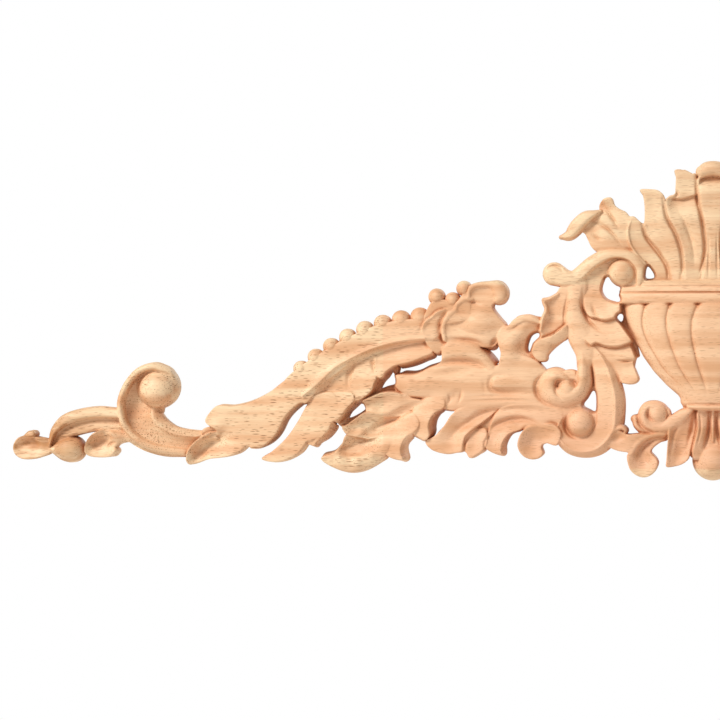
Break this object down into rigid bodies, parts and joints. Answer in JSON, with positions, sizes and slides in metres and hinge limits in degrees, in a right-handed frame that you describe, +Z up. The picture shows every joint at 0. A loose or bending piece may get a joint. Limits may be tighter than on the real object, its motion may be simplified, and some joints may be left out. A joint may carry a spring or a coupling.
{
  "type": "carved wood pediment",
  "caption": "Long flat-backed carved wood pediment: an urn of flames in the middle on scrolls and leaves, with a beaded leafy wing and an end scroll on each side.",
  "frame": {"origin": "on the flat back face, behind the urn, half-way along the length and at half the height", "axes": "+X along the length, +Z up as it hangs, +Y out of the flat back; the carving faces -Y"},
  "size_m": [0.9988, 0.0235, 0.2246],
  "materials": {
    "bare_wood": "sanded, unfinished"
  },
  "bodies": {
    "root": {"carved_pediment": "bare_wood"}
  },
  "joints": []
}
